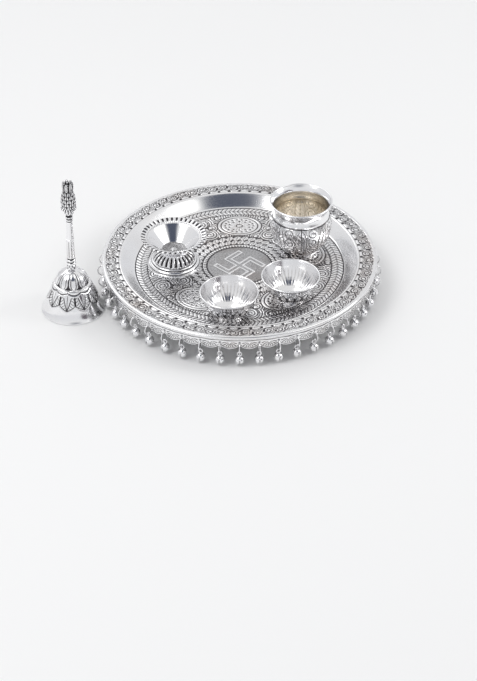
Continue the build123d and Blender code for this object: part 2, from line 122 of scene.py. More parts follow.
class ThaliFinish(PropertyGroup):
    """Colours of the plating."""

    silver: FloatVectorProperty(
        name="Silver", description="Polished plating",
        default=(0.92, 0.92, 0.93, 1), size=4, subtype="COLOR")
    oxide: FloatVectorProperty(
        name="Oxide", description="Oxidised recesses",
        default=(0.07, 0.066, 0.072, 1), size=4, subtype="COLOR")
    gilt: FloatVectorProperty(
        name="Gilt", description="Warm wash inside the water pot",
        default=(0.94, 0.9, 0.83, 1), size=4, subtype="COLOR")
    gilt_oxide: FloatVectorProperty(
        name="Gilt Oxide", description="Recesses of the warm wash",
        default=(0.5, 0.4, 0.27, 1), size=4, subtype="COLOR")
    bronze: FloatVectorProperty(
        name="Bell Metal", description="Clapper",
        default=(0.52, 0.43, 0.3, 1), size=4, subtype="COLOR")
    steel: FloatVectorProperty(
        name="Steel", description="Wire and rivet",
        default=(0.6, 0.6, 0.61, 1), size=4, subtype="COLOR")
    tea: FloatVectorProperty(
        name="Tea", description="Brown tarnish in the ornament",
        default=(0.42, 0.33, 0.27, 1), size=4, subtype="COLOR")


class ThaliStage(PropertyGroup):
    """Camera and studio."""

    elevation: FloatProperty(
        name="Elevation", description="Height of the camera above the horizon",
        default=radians(34.3), subtype="ANGLE")
    distance: FloatProperty(
        name="Distance", description="Distance of the camera", default=2.2, unit="LENGTH")
    view_height: FloatProperty(
        name="View Height", description="Height of the picture at the set", default=0.6288, unit="LENGTH")
    shift: FloatProperty(
        name="Shift", description="Rise of the tray in the picture, in picture heights", default=-0.1233)
    floor_colour: FloatVectorProperty(
        name="Floor", description="Colour of the floor",
        default=(0.9, 0.9, 0.9, 1), size=4, subtype="COLOR")


def clamp(value):
    """A value held between 0 and 1."""
    return min(max(value, 0), 1)


def ridge(distance, half):
    """1 on a line, falling to 0 at half a width from it."""
    return clamp(1 - abs(distance) / half)


def swell(turns):
    """A rounded wave: 1 at whole turns and 0 half way between them."""
    return 0.5 + 0.5 * cos(tau * turns)


def split(turns):
    """Number of the nearest whole turn, and how far from it, from -0.5 to 0.5."""
    whole = floor(turns + 0.5)
    return whole, turns - whole


def leaf(across, along):
    """Depth of the ground round a veined leaf.

    across runs from -1 to 1, and along from 0 at the leaf's foot to 1 at its tip.
    """
    half = 0.97 * sin(pi * clamp(along)) ** 0.5
    ground = clamp((abs(across) - half) * 6 + 0.5)
    vein = 0.8 * ridge(across, 0.13)
    ribs = 0.55 * ridge(split(along * 6 - abs(across) * 1.6)[1], 0.24)
    return max(0.8 * ground, vein, ribs)


def spiral(across, along, turn, pitch, half):
    """Depth of a scroll's chased line, wound about its middle: lengths in millimetres."""
    reach = hypot(across, along)
    if reach < 0.4 * pitch:
        return 0
    return ridge(split(reach / pitch - turn * atan2(along, across) / tau)[1] * pitch, half)


def lathe(name, outline, place, steps):
    """Spins an outline of (radius, height) points, in millimetres, about the axis through a place."""
    bpy.ops.object.select_all(action="DESELECT")
    bpy.ops.mesh.primitive_plane_add(size=MM)
    piece = bpy.context.object
    piece.name = name
    bpy.ops.object.mode_set(mode="EDIT")
    bpy.ops.mesh.select_mode(type="VERT")
    bpy.ops.mesh.select_all(action="SELECT")
    bpy.ops.mesh.merge(type="CENTER")
    last = Vector((0, 0, 0))
    for number, (radius, height) in enumerate(outline):
        point = Vector((place.x + radius * MM, place.y, place.z + height * MM))
        if number == 0:
            bpy.ops.transform.translate(value=point)
        else:
            bpy.ops.mesh.extrude_region_move(TRANSFORM_OT_translate={"value": point - last})
        last = point
    bpy.ops.mesh.select_all(action="SELECT")
    bpy.ops.mesh.spin(steps=steps, angle=tau, center=(place.x, place.y, 0), axis=(0, 0, 1))
    bpy.ops.mesh.select_all(action="SELECT")
    bpy.ops.mesh.remove_doubles(threshold=MM / 1000)
    bpy.ops.mesh.normals_make_consistent(inside=False)
    bpy.ops.object.mode_set(mode="OBJECT")
    return piece


def run(start, end, pieces):
    """Points from a start towards an end, evenly spaced, without the end."""
    return [
        (start[0] + (end[0] - start[0]) * k / pieces, start[1] + (end[1] - start[1]) * k / pieces)
        for k in range(pieces)
    ]


def arc(middle, radius, first, last, pieces):
    """Points along an arc, from a first to a last angle in degrees, both ends included."""
    angles = [radians(first + (last - first) * k / pieces) for k in range(pieces + 1)]
    return [(middle[0] + radius * cos(angle), middle[1] + radius * sin(angle)) for angle in angles]


def flowing(knots, pieces):
    """Points of a smooth line through knots, with each knot's neighbours setting its slope."""
    padded = [knots[0], *knots, knots[-1]]
    points = []
    for before, start, end, after in zip(padded, padded[1:], padded[2:], padded[3:]):
        for k in range(pieces):
            t = k / pieces
            points.append(tuple(
                0.5 * (
                    2 * b + (c - a) * t + (2 * a - 5 * b + 4 * c - d) * t**2
                    + (3 * b - a - 3 * c + d) * t**3
                )
                for a, b, c, d in zip(before, start, end, after)
            ))
    return points + [knots[-1]]


def chase(piece, place, depth, ground):
    """Sinks a piece's surface by depth where ground says, and keeps that as its recess attribute.

    ground takes a point's radius, bearing and height from a place, in millimetres and radians,
    whether the surface there faces the axis, and how far it faces up. It gives a share of depth,
    and the oxide if that differs.
    """
    mesh = piece.data
    recess = []
    group = piece.vertex_groups.new(name="Recess")
    for vertex in mesh.vertices:
        x, y, z = vertex.co - place
        inward = vertex.normal.x * x + vertex.normal.y * y < FACES_AXIS
        share = ground(hypot(x, y) / MM, atan2(y, x), z / MM, inward, vertex.normal.z)
        share, oxide = share if isinstance(share, tuple) else (share, share)
        recess.append(clamp(oxide))
        if share > 0:
            group.add((vertex.index,), clamp(share), "REPLACE")
    mesh.attributes.new("recess", "FLOAT", "POINT").data.foreach_set("value", recess)
    sink = piece.modifiers.new("Chasing", "DISPLACE")
    sink.vertex_group = group.name
    sink.mid_level = 0
    sink.strength = -depth
    bpy.ops.object.modifier_apply(modifier=sink.name)


def finish_piece(piece, body, finish, nodes):
    """Smooths a piece, dresses it, and lets it stand for CAD nodes on their body."""
    bpy.ops.object.select_all(action="DESELECT")
    piece.select_set(True)
    bpy.context.view_layer.objects.active = piece
    bpy.ops.object.shade_smooth_by_angle(angle=CREASE)
    piece.data.materials.clear()
    piece.data.materials.append(plate(finish))
    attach(piece, body)
    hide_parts(*nodes)


def place_node(tree, kind, inputs=None, **settings):
    """Adds a shader node, sets its properties, and fills or links its inputs."""
    made = tree.nodes.new(kind)
    for name, value in settings.items():
        setattr(made, name, value)
    for name, value in (inputs or {}).items():
        if isinstance(value, bpy.types.NodeSocket):
            tree.links.new(value, made.inputs[name])
        else:
            made.inputs[name].default_value = value
    return made


def reckon(tree, operation, *values, **settings):
    """Adds a math node over values and sockets, and gives its result."""
    inputs = dict(enumerate(values))
    return place_node(tree, "ShaderNodeMath", inputs, operation=operation, **settings).outputs[0]


def mix_colours(tree, share, first, second):
    """Adds a node that mixes two colours by a share of the second, and gives its result."""
    inputs = {"Factor": share, "A": first, "B": second}
    return place_node(tree, "ShaderNodeMix", inputs, data_type="RGBA").outputs["Result"]


TARNISH_SOCKETS = (
    ("Recess", "INPUT", "NodeSocketFloat", 0.0),
    ("Plating", "INPUT", "NodeSocketColor", (0.8, 0.8, 0.8, 1)),
    ("Oxide", "INPUT", "NodeSocketColor", (0.1, 0.1, 0.1, 1)),
    ("Tea", "INPUT", "NodeSocketColor", (0.4, 0.3, 0.25, 1)),
    ("Tea Amount", "INPUT", "NodeSocketFloat", 0.3),
    ("Polish", "INPUT", "NodeSocketFloat", 0.14),
    ("Colour", "OUTPUT", "NodeSocketColor", None),
    ("Roughness", "OUTPUT", "NodeSocketFloat", None),
    ("Height", "OUTPUT", "NodeSocketFloat", None),
)
TEA_PATCHES = {"Scale": 22, "Detail": 3, "Roughness": 0.55}
GRAIN = {"Scale": 900, "Detail": 2, "Roughness": 0.6}
HAIRLINES = {"Scale": 1, "Detail": 1}
HAIRLINE_STRETCH = (2600, 300, 600)
OXIDE_REACH = {"From Min": 0.1, "From Max": 0.72}
TEA_REACH = {"From Min": 0.48, "From Max": 0.72}


def tarnish_group():
    """Shared effect: bright plating on high places, oxide in recesses, and brown tarnish in patches."""
    group = bpy.data.node_groups.get("Tarnish")
    if group:
        return group
    group = bpy.data.node_groups.new("Tarnish", "ShaderNodeTree")
    for name, way, kind, default in TARNISH_SOCKETS:
        socket = group.interface.new_socket(name, in_out=way, socket_type=kind)
        if default is not None:
            socket.default_value = default
    given = place_node(group, "NodeGroupInput").outputs
    spot = place_node(group, "ShaderNodeTexCoord").outputs["Object"]
    patches = place_node(group, "ShaderNodeTexNoise", {"Vector": spot} | TEA_PATCHES).outputs["Fac"]
    grain = place_node(group, "ShaderNodeTexNoise", {"Vector": spot} | GRAIN).outputs["Fac"]
    stretched = place_node(group, "ShaderNodeMapping", {"Vector": spot, "Scale": HAIRLINE_STRETCH})
    hairlines = place_node(
        group, "ShaderNodeTexNoise", {"Vector": stretched.outputs["Vector"]} | HAIRLINES).outputs["Fac"]
    deep = reckon(group, "MULTIPLY", given["Recess"], reckon(group, "MULTIPLY_ADD", grain, 1.2, 0.4))
    dark = place_node(
        group, "ShaderNodeMapRange", {"Value": deep} | OXIDE_REACH,
        interpolation_type="SMOOTHSTEP").outputs["Result"]
    blotch = place_node(group, "ShaderNodeMapRange", {"Value": patches} | TEA_REACH).outputs["Result"]
    stained = reckon(group, "MULTIPLY_ADD", given["Recess"], 1.6, 0.15, use_clamp=True)
    tea_patch = reckon(group, "MULTIPLY", blotch, given["Tea Amount"])
    tea_mask = reckon(group, "MULTIPLY", tea_patch, stained)
    brown = mix_colours(group, tea_mask, given["Plating"], given["Tea"])
    rough = reckon(group, "MULTIPLY_ADD", dark, 0.3, given["Polish"])
    place_node(group, "NodeGroupOutput", {
        "Colour": mix_colours(group, dark, brown, given["Oxide"]),
        "Roughness": reckon(group, "MULTIPLY_ADD", hairlines, 0.1, rough),
        "Height": reckon(group, "MULTIPLY", grain, dark),
    })
    return group


# Each finish: its plating, the colour in its recesses, its roughness, and its share of brown tarnish
FINISHES = {
    "chased_silver": ("silver", "oxide", 0.12, 0.8),
    "polished_silver": ("silver", "oxide", 0.05, 0.6),
    "burnished_silver": ("silver", "oxide", 0.11, 0.6),
    "gilt_silver": ("gilt", "gilt_oxide", 0.2, 0.3),
    "drawn_steel": ("steel", "oxide", 0.28, 0.1),
    "cast_bronze": ("bronze", "oxide", 0.34, 0.4),
}


def plate(name):
    """Metal with one of the finishes, which reads the recess attribute for its oxide."""
    material = bpy.data.materials.get(name)
    if material:
        return material
    look = bpy.context.scene.thali_finish
    plating, recesses, polish, tea_amount = FINISHES[name]
    material = bpy.data.materials.new(name)
    material.use_nodes = True
    tree = material.node_tree
    tree.nodes.clear()
    recess = place_node(tree, "ShaderNodeAttribute", attribute_name="recess")
    tarnish = place_node(tree, "ShaderNodeGroup", node_tree=tarnish_group())
    tree.links.new(recess.outputs["Fac"], tarnish.inputs["Recess"])
    tarnish.inputs["Plating"].default_value = getattr(look, plating)
    tarnish.inputs["Oxide"].default_value = getattr(look, recesses)
    tarnish.inputs["Tea"].default_value = look.tea
    tarnish.inputs["Tea Amount"].default_value = tea_amount
    tarnish.inputs["Polish"].default_value = polish
    bump = place_node(
        tree, "ShaderNodeBump",
        {"Height": tarnish.outputs["Height"], "Strength": 0.3, "Distance": 0.3 * MM})
    shader = place_node(tree, "ShaderNodeBsdfPrincipled", {
        "Base Color": tarnish.outputs["Colour"],
        "Metallic": 1.0,
        "Roughness": tarnish.outputs["Roughness"],
        "Normal": bump.outputs["Normal"],
    })
    place_node(tree, "ShaderNodeOutputMaterial", {"Surface": shader.outputs["BSDF"]})
    return material


# Radii of the tray's bands of ornament, in millimetres
MEDALLION_EDGE = 29.2
BEAD_RING = 31.8
WREATH_START = 34.6
WREATH_SECOND_ROW = 41.2
WREATH_ROW_WIDTH = 6.6
WREATH_END = 48
OVAL_RING = 66
BORDER_START = 84.6
BORDER_SPINE = 90.7
FLOOR_EDGE = 97
FLANGE_START = 110.6
DROP_RING = 112.6
SCROLL_START = 114
SCROLL_RING = 118.8
FLANGE_END = 123.6

# Half the width and half the height of an oval frame, and how much wider than high its rosette is
OVAL_WIDTH = 21
OVAL_HEIGHT = 16.5
ROSETTE_STRETCH = 1.28

# Each scroll between two ovals: radius on the tray, degrees from the oval's middle, size and turn
VINE_SCROLLS = (
    (77.0, 28.5, 8.0, 1),
    (57.5, 29.0, 6.2, -1),
    (82.2, 15.0, 3.6, -1),
    (50.6, 17.0, 2.6, 1),
    (67.5, 23.2, 3.4, 1),
    (67.5, 36.0, 3.4, -1),
)


def vine(radius, off):
    """Depth of the chased scrolls between two oval frames: off is the bearing from the nearer one."""
    nearest = (radius, 0, 0, 1)
    for distance, bearing, size, turn in VINE_SCROLLS:
        swing = off - radians(bearing)
        along = radius * cos(swing) - distance
        across = radius * sin(swing)
        nearest = min(nearest, (hypot(across, along) - size, across, along, turn))
    clear, across, along, turn = nearest
    echo = 2.3
    if clear > 0:
        return 0.95 * ridge(split((clear - 0.4) / echo)[1] * echo, 0.9)
    return spiral(across, along, turn, pitch=2.7, half=0.85)


def rosette(across, along):
    """Depth of a rosette: an eye, a ring of petals and a ring of dots."""
    petals = 10
    dots = 18
    dot_ring = 10.4
    reach = hypot(across, along)
    turn = atan2(along, across) / tau
    if reach < 2.8:
        return ridge(reach - 2.3, 0.7)
    if reach < 8.2:
        half = sin(pi * clamp((reach - 1.6) / 7)) ** 0.6
        petal = split(turn * petals)[1] * 2
        return max(clamp((abs(petal) - half) * 3 + 0.3), 0.6 * ridge(petal, 0.16))
    dot = hypot(reach - dot_ring, split(turn * dots)[1] / dots * tau * dot_ring)
    return clamp(1.4 * ridge(dot, 1.3))


def oval_band(radius, bearing, ovals):
    """Depth in the floor's main band: rosettes in oval frames, and scrolls between them."""
    pitch = tau / ovals
    off = split((bearing - pi / 2) / pitch)[1] * pitch
    across = radius * sin(off)
    along = radius * cos(off) - OVAL_RING
    span = hypot(across / OVAL_WIDTH, along / OVAL_HEIGHT)
    if span > 1.03:
        return vine(radius, abs(off))
    if span > 0.78:
        return max(ridge(span - 1, 0.045), ridge(span - 0.83, 0.045))
    return rosette(across / ROSETTE_STRETCH, along)


def bead_band(radius, turn):
    """Depth round the string of beads outside the medallion."""
    beads = 72
    off = radius - BEAD_RING
    if abs(off) < 1.4:
        bead = hypot(off, split(turn * beads)[1] / beads * tau * BEAD_RING)
        return clamp((bead - 0.7) * 1.2)
    return ridge(abs(off) - 2.3, 0.5)


def wreath_band(radius, turn, leaves):
    """Depth round the wreath's two rows of slanting leaves."""
    row = int(radius > WREATH_SECOND_ROW)
    along = (radius - (WREATH_SECOND_ROW if row else WREATH_START)) / WREATH_ROW_WIDTH
    return leaf(split(turn * leaves + 0.5 * row + 0.35 * along)[1] * 2, along)


def border_band(radius, turn, leaves):
    """Depth of the floor's border: a herringbone of leaves between two lines."""
    edge = max(ridge(radius - 85.2, 0.8), ridge(radius - 96.2, 0.8))
    stroke = split(turn * leaves + 0.18 * abs(radius - BORDER_SPINE))[1]
    spine = 0.8 * ridge(radius - BORDER_SPINE, 0.7)
    return max(edge, ridge(abs(stroke) - 0.5, 0.22), spine, 0.5 * ridge(stroke, 0.1))


def flange_band(radius, turn, petals):
    """Depth of the flange's ornament: a row of drops, and scrolls that turn by turns."""
    if radius < SCROLL_START:
        spread = split(turn * petals)[1] / petals * tau * DROP_RING
        drop = hypot((radius - DROP_RING) / 1.9, spread / 1.35)
        return max(clamp(1.9 - 1.5 * drop), ridge(radius - 110.9, 0.5), 0.6 * ridge(radius - 113.8, 0.5))
    number, off = split(turn * petals + 0.5)
    way = 1 if number % 2 else -1
    across = off / petals * tau * SCROLL_RING
    along = radius - SCROLL_RING + 0.9 * way
    reach = hypot(across, along)
    echo = 1.8
    if reach > 4.1:
        return 0.95 * ridge(split((reach - 4.4) / echo)[1] * echo, 0.75)
    return spiral(across, along, way, pitch=2.2, half=0.85)


def tray_ground(sizes):
    """Ground of the tray's ornament, from its middle out to the flange."""
    medallion_sink = 0.5
    medallion_oxide = 0.44

    def ground(radius, bearing, height, inward, facing):
        if facing < 0.5 or radius > FLANGE_END or FLOOR_EDGE <= radius < FLANGE_START:
            return 0
        turn = bearing / tau
        if radius < MEDALLION_EDGE:
            return medallion_sink, medallion_oxide
        if radius < WREATH_START:
            return bead_band(radius, turn)
        if radius < WREATH_END:
            return wreath_band(radius, turn, sizes.wreath_leaves)
        if radius < BORDER_START:
            return max(oval_band(radius, bearing, sizes.ovals), ridge(radius - 48.4, 0.8))
        if radius < FLOOR_EDGE:
            return border_band(radius, turn, sizes.border_leaves)
        return flange_band(radius, turn, sizes.flange_petals)

    return ground


class THALI_OT_tray(Operator):
    """Spin the tray and chase its ornament"""

    bl_idname = "thali.tray"
    bl_label = "Tray"

    def execute(self, context):
        sizes = context.scene.thali_sizes
        axis = foot_of("thali_tray")
        sheet = sizes.sheet / MM
        rim = height_of("thali_tray") / MM
        bead = 1.6
        edge = radius_of("thali_tray") / MM - bead
        outline = []
        for start, end, rows in ((0, 29, 4), (29, 48, 27), (48, 85, 46), (85, FLOOR_EDGE, 16)):
            outline += run((start, sheet), (end, sheet), rows)
        outline += flowing(((FLOOR_EDGE, sheet), (98.6, sheet + 0.7), (108, rim - 1), (110, rim)), 4)
        outline += run((110.4, rim), (edge, rim), 20)
        outline += arc((edge, rim - bead), bead, 90, -160, 10)
        outline += arc((edge, rim - bead), bead - sheet, -160, 90, 6)
        outline += flowing(((110.5, rim - sheet), (108.6, rim - 1 - sheet), (99.2, 1), (FLOOR_EDGE, 0)), 2)
        tray = lathe("thali_tray_chased", outline, axis, steps=660)
        chase(tray, axis, sizes.chasing, tray_ground(sizes))
        finish_piece(tray, "thali", "chased_silver", ("thali_tray",))
        return {"FINISHED"}


class THALI_OT_sign(Operator):
    """Raise the auspicious sign in the middle of the tray"""

    bl_idname = "thali.sign"
    bl_label = "Auspicious Sign"

    def execute(self, context):
        sizes = context.scene.thali_sizes
        axis = foot_of("thali_tray")
        half = sizes.sign_stroke / 2
        size = 2 * (sizes.sign_stroke + sizes.sign_gap) + sizes.sign_stroke
        cells = 5
        cell = size / cells
        rise = 0.9 * sizes.chasing
        line_width = 1.35 * MM
        line_slope = 0.3 * MM
        groove = 0.85 * rise
        bpy.ops.object.select_all(action="DESELECT")
        bpy.ops.mesh.primitive_grid_add(x_subdivisions=cells, y_subdivisions=cells, size=size)
        sign = bpy.context.object
        sign.name = "thali_sign"
        arms = {(0, k) for k in range(-2, 3)} | {(k, 0) for k in range(-2, 3)}
        hooks = {(1, 2), (2, 2), (2, -1), (2, -2), (-1, -2), (-2, -2), (-2, 1), (-2, 2)}
        bpy.ops.object.mode_set(mode="EDIT")
        bpy.ops.mesh.select_mode(type="FACE")
        bpy.ops.mesh.select_all(action="DESELECT")
        bpy.ops.object.mode_set(mode="OBJECT")
        for face in sign.data.polygons:
            face.select = (round(face.center.x / cell), round(face.center.y / cell)) not in arms | hooks
        bpy.ops.object.mode_set(mode="EDIT")
        bpy.ops.mesh.delete(type="FACE")
        bpy.ops.mesh.select_mode(type="VERT")
        for side, stretch in ((0, (1, 0, 0)), (1, (0, 1, 0))):
            for line, place in ((0.5 * cell, half), (1.5 * cell, half + sizes.sign_gap)):
                bpy.ops.mesh.select_all(action="DESELECT")
                bpy.ops.object.mode_set(mode="OBJECT")
                for vertex in sign.data.vertices:
                    vertex.select = abs(abs(vertex.co[side]) - line) < 0.1 * MM
                bpy.ops.object.mode_set(mode="EDIT")
                bpy.ops.transform.resize(
                    value=[place / line if way else 1 for way in stretch], center_override=(0, 0, 0))
        bpy.ops.mesh.select_all(action="SELECT")
        bpy.ops.mesh.extrude_region_move(TRANSFORM_OT_translate={"value": (0, 0, rise)})
        bpy.ops.mesh.inset(thickness=line_width)
        bpy.ops.mesh.inset(thickness=line_slope, depth=-groove)
        bpy.ops.mesh.select_all(action="SELECT")
        bpy.ops.mesh.normals_make_consistent(inside=False)
        bpy.ops.transform.rotate(value=-sizes.sign_turn, orient_axis="Z", center_override=(0, 0, 0))
        bpy.ops.transform.translate(value=(axis.x, axis.y, axis.z + sizes.sheet - sizes.chasing))
        bpy.ops.object.mode_set(mode="OBJECT")
        top = max(vertex.co.z for vertex in sign.data.vertices)
        recess = [0.5 * (top - vertex.co.z) / rise for vertex in sign.data.vertices]
        sign.data.attributes.new("recess", "FLOAT", "POINT").data.foreach_set("value", recess)
        sign.data.materials.append(plate("chased_silver"))
        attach(sign, "thali")
        return {"FINISHED"}


class THALI_OT_skirt(Operator):
    """Spin the skirt, draw its scallops down, pierce it and emboss a palmette on each scallop"""

    bl_idname = "thali.skirt"
    bl_label = "Scalloped Skirt"

    def execute(self, context):
        axis = foot_of("scalloped_skirt")
        edge = radius_of("scalloped_skirt") / MM
        deep = height_of("scalloped_skirt") / MM
        lobes = len(FRINGE)
        half = pi * edge / lobes
        sheet = 0.6
        scallop = 3.6
        hole = 1.1
        hole_drop = 3.3
        bulge = 0.9
        bow = (half**2 + scallop**2) / (2 * scallop)
        fan_middle = deep - 1.6
        fan_rays = 9

        def lobe(bearing):
            """Distance along the rim from a scallop's middle, and the height of the scallop's edge there."""
            across = split((bearing + pi / 2) / tau * lobes + 0.5)[1] * 2 * half
            return across, bow - sqrt(bow**2 - across**2)

        inner = edge - sheet
        outline = run((edge, deep), (edge, 0), 26) + run((edge, 0), (inner, 0), 2)
        outline += run((inner, 0), (inner, deep), 5) + [(inner, deep), (edge, deep)]
        skirt = lathe("scalloped_skirt_embossed", outline, axis, steps=32 * lobes)
        for vertex in skirt.data.vertices:
            x, y, z = vertex.co - axis
            across, low = lobe(atan2(y, x))
            down = 1 - z / MM / deep
            swelling = bulge * cos(pi / 2 * across / half) ** 2 * sin(0.8 * pi * down)
            out = 1 + swelling * MM / hypot(x, y)
            vertex.co = axis + Vector((x * out, y * out, (deep - down * (deep - low)) * MM))

        bpy.ops.object.select_all(action="DESELECT")
        bpy.ops.mesh.primitive_cylinder_add(
            vertices=20, radius=hole * MM, depth=4 * MM, rotation=(pi / 2, 0, 0),
            location=axis + Vector((0, -edge, deep - hole_drop)) * MM)
        punch = bpy.context.object
        bpy.ops.object.mode_set(mode="EDIT")
        bpy.ops.mesh.select_all(action="SELECT")
        bpy.ops.mesh.spin(
            steps=lobes - 1, angle=tau * (lobes - 1) / lobes, dupli=True,
            center=(axis.x, axis.y, 0), axis=(0, 0, 1))
        bpy.ops.object.mode_set(mode="OBJECT")
        bpy.context.view_layer.objects.active = skirt
        holes = skirt.modifiers.new("Holes", "BOOLEAN")
        holes.operation = "DIFFERENCE"
        holes.object = punch
        bpy.ops.object.modifier_apply(modifier=holes.name)
        bpy.data.objects.remove(punch)

        def palmette(radius, bearing, height, inward, facing):
            if inward:
                return 0
            across, low = lobe(bearing)
            border = max(ridge(height - low - 1.2, 0.5), ridge(deep - height - 1, 0.4))
            reach = hypot(across, fan_middle - height)
            fan = split(atan2(across, fan_middle - height) / pi * fan_rays)[1]
            rays = ridge(abs(fan) - 0.5, 0.26) * clamp(reach - 1.2) * clamp((height - low - 1.9) * 1.5)
            share = max(border, rays * clamp(7 - abs(across)) * clamp(deep - 2 - height))
            return share, 1.3 * share

        chase(skirt, axis, 0.28 * MM, palmette)
        finish_piece(skirt, "thali", "polished_silver", ("scalloped_skirt",))
        return {"FINISHED"}


class THALI_OT_fringe(Operator):
    """Dress the foot, the hanging ghungroos and the small fittings"""

    bl_idname = "thali.fringe"
    bl_label = "Ghungroos and Fittings"

    def execute(self, context):
        finishes = {name: "polished_silver" for name in ("foot_ring", *FRINGE)}
        finishes |= {name: "drawn_steel" for name in ("rim_wire", "diya_rivet", "clapper_staple")}
        finishes["clapper"] = "cast_bronze"
        for name, finish in finishes.items():
            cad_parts[name].material_slots[0].material = plate(finish)
        return {"FINISHED"}


def kalash_ground(leaves):
    """Ground of the embossed leaves and scrolls on the water pot's body, with its reverse inside."""
    lines_at = (4.2, 35.6)
    leaf_foot = 5
    leaf_height = 30
    belly = 27.5
    scroll_step = 10.2
    scroll_foot = 10.1

    def body(bearing, height):
        lines = max(ridge(height - line, 0.8) for line in lines_at)
        number, off = split(bearing / tau * leaves * 2)
        if number % 2 == 0:
            along = (height - leaf_foot) / leaf_height
            half = sin(pi * clamp(along)) ** 0.5
            outline = ridge(abs(off) * 2 - 0.9 * half, 0.14)
            ribs = 0.65 * ridge(split(along * 7 - abs(off) * 3.4)[1], 0.24)
            beyond = 0.6 * clamp((abs(off) * 2 - half) * 6)
            return max(lines, outline, ribs, ridge(off, 0.05), beyond)
        across = off / leaves * pi * belly
        step = min(int((height - leaf_foot) / scroll_step), 2)
        along = height - scroll_foot - scroll_step * step
        turn = 1 if (step + number // 2) % 2 else -1
        reach = hypot(across, along)
        if reach > 5.3:
            return max(lines, 0.6 * ridge(split(reach / 1.7)[1], 0.4), 0.35)
        return max(lines, spiral(across, along, turn, pitch=2.7, half=0.8))

    def ground(radius, bearing, height, inward, facing):
        if not 3.4 < height < 36.4:
            return 0
        share = body(bearing, height)
        return (0.12 * share, 0.6 * share) if inward else (share, share**2)

    return ground


class THALI_OT_kalash(Operator):
    """Spin the water pot and emboss its body"""

    bl_idname = "thali.kalash"
    bl_label = "Kalash"

    def execute(self, context):
        axis = foot_of("kalash")
        rim = radius_of("kalash") / MM
        top = height_of("kalash") / MM
        lip = 0.9
        outside = (
            (16.5, 0), (19.8, 3.3), (22.7, 7), (25.05, 10.9), (26.85, 15.2), (28.05, 19.7), (28.7, 24.4),
            (28.9, 29), (27.9, 33.5), (26.1, 37.8), (25, 42.3), (25.75, 46.9), (27.6, 49.7),
        )
        inside = (
            (27.5, 50.8), (24.8, 47), (24, 42.5), (25, 38), (26.8, 33.8), (27.9, 29.4), (27.7, 24.8),
            (27, 20.3), (25.8, 15.9), (24, 11.7), (21.6, 7.8), (18.7, 4.2), (15.5, 1),
        )
        outline = [(0, 0)] + flowing(outside, 6)
        outline += arc((rim - lip, top - lip), lip, -40, 175, 8)
        outline += flowing(inside, 5) + [(0, 1)]
        kalash = lathe("kalash_embossed", outline, axis, steps=320)
        chase(kalash, axis, 0.75 * MM, kalash_ground(context.scene.thali_sizes.kalash_leaves))
        finish_piece(kalash, "kalash", "chased_silver", ("kalash",))
        kalash.data.materials.append(plate("gilt_silver"))
        wash_floor = 15.4 * MM
        wash_foot = 0.5 * MM
        wash_top = 44.5 * MM
        for face in kalash.data.polygons:
            point = face.center - axis
            inward = face.normal.x * point.x + face.normal.y * point.y < 0
            on_floor = hypot(point.x, point.y) < wash_floor
            face.material_index = int((inward or on_floor) and wash_foot < point.z < wash_top)
        return {"FINISHED"}


class THALI_OT_diya(Operator):
    """Spin the oil lamp's fluted base and its cup with a toothed flange"""

    bl_idname = "thali.diya"
    bl_label = "Diya"

    def execute(self, context):
        sizes = context.scene.thali_sizes
        axis = foot_of("diya_base")
        plate_radius = radius_of("diya_base") / MM
        plate_roll = 0.8
        step_grooves = ((23.8, 0.6), (21.2, 0.3), (19.25, 0.35))
        dome_foot = 6.5
        flute_foot = 6.4
        flute_top = 14.6
        outline = [(0, 0), (plate_radius, 0)]
        outline += arc((plate_radius - plate_roll, plate_roll), plate_roll, -40, 100, 5)
        outline += [(23.9, 1.7), (23.6, 2.1)]
        outline += flowing(((23.6, 2.2), (23.3, 3), (22.2, 4), (21.2, 4.4)), 4)
        outline += flowing(((21.2, 4.5), (21, 5.2), (20.2, 5.9), (19.3, 6.2)), 4)
        outline += flowing(((19.2, 6.4), (18.9, 7.6), (16.9, 11), (12.3, 14.2), (10.4, 15)), 9)
        outline += [(0, 15)]
        base = lathe("diya_base_fluted", outline, axis, steps=384)

        def flutes(radius, bearing, height, inward, facing):
            if height < dome_foot:
                rings = max(ridge(radius - line, reach) for line, reach in step_grooves)
                return (0.1 * rings, rings) if 0.2 < height and facing > 0 else 0
            span = clamp((height - flute_foot) * 0.9) * clamp((flute_top - height) * 0.9)
            share = span * (1 - sqrt(clamp(swell(bearing / tau * sizes.dome_flutes))))
            return share, 1.25 * share

        chase(base, axis, 1.5 * MM, flutes)
        finish_piece(base, "diya", "chased_silver", ("diya_base",))

        axis = foot_of("diya_cup")
        flange_radius = radius_of("diya_cup") / MM
        top = height_of("diya_cup") / MM
        flange_foot = 11.6
        tooth_root = 25.6
        outline = flowing((
            (0, 0), (9.4, 0), (13, 2.2), (22.9, 12.4), (24.2, 13.2), (flange_radius, top - 0.9),
        ), 10)
        outline += arc((flange_radius - 0.4, top - 0.5), 0.45, -60, 120, 4)
        outline += flowing(((flange_radius - 0.9, top), (24.6, top - 1.9), (23.6, top - 2.4)), 10)
        outline += flowing(((23.2, 13.6), (22.2, 12.9), (12.6, 3.2), (9, 0.9), (0, 0.9)), 8)
        cup = lathe("diya_cup_toothed", outline, axis, steps=480)

        def teeth(radius, bearing, height, inward, facing):
            if height < flange_foot:
                return (0, 0.5) if facing > 0.8 and height < 2 else 0
            if radius < tooth_root:
                beads = swell(bearing / tau * 2 * sizes.flange_teeth)
                return 0.5 * clamp((1 - abs(radius - 24.5)) * 1.4) * (1 - beads) if facing > 0 else 0
            gap = clamp(1.15 - 1.7 * swell(bearing / tau * sizes.flange_teeth))
            return clamp((radius - tooth_root) * 0.9) * gap

        chase(cup, axis, 0.9 * MM, teeth)
        finish_piece(cup, "diya", "polished_silver", ("diya_cup",))
        return {"FINISHED"}


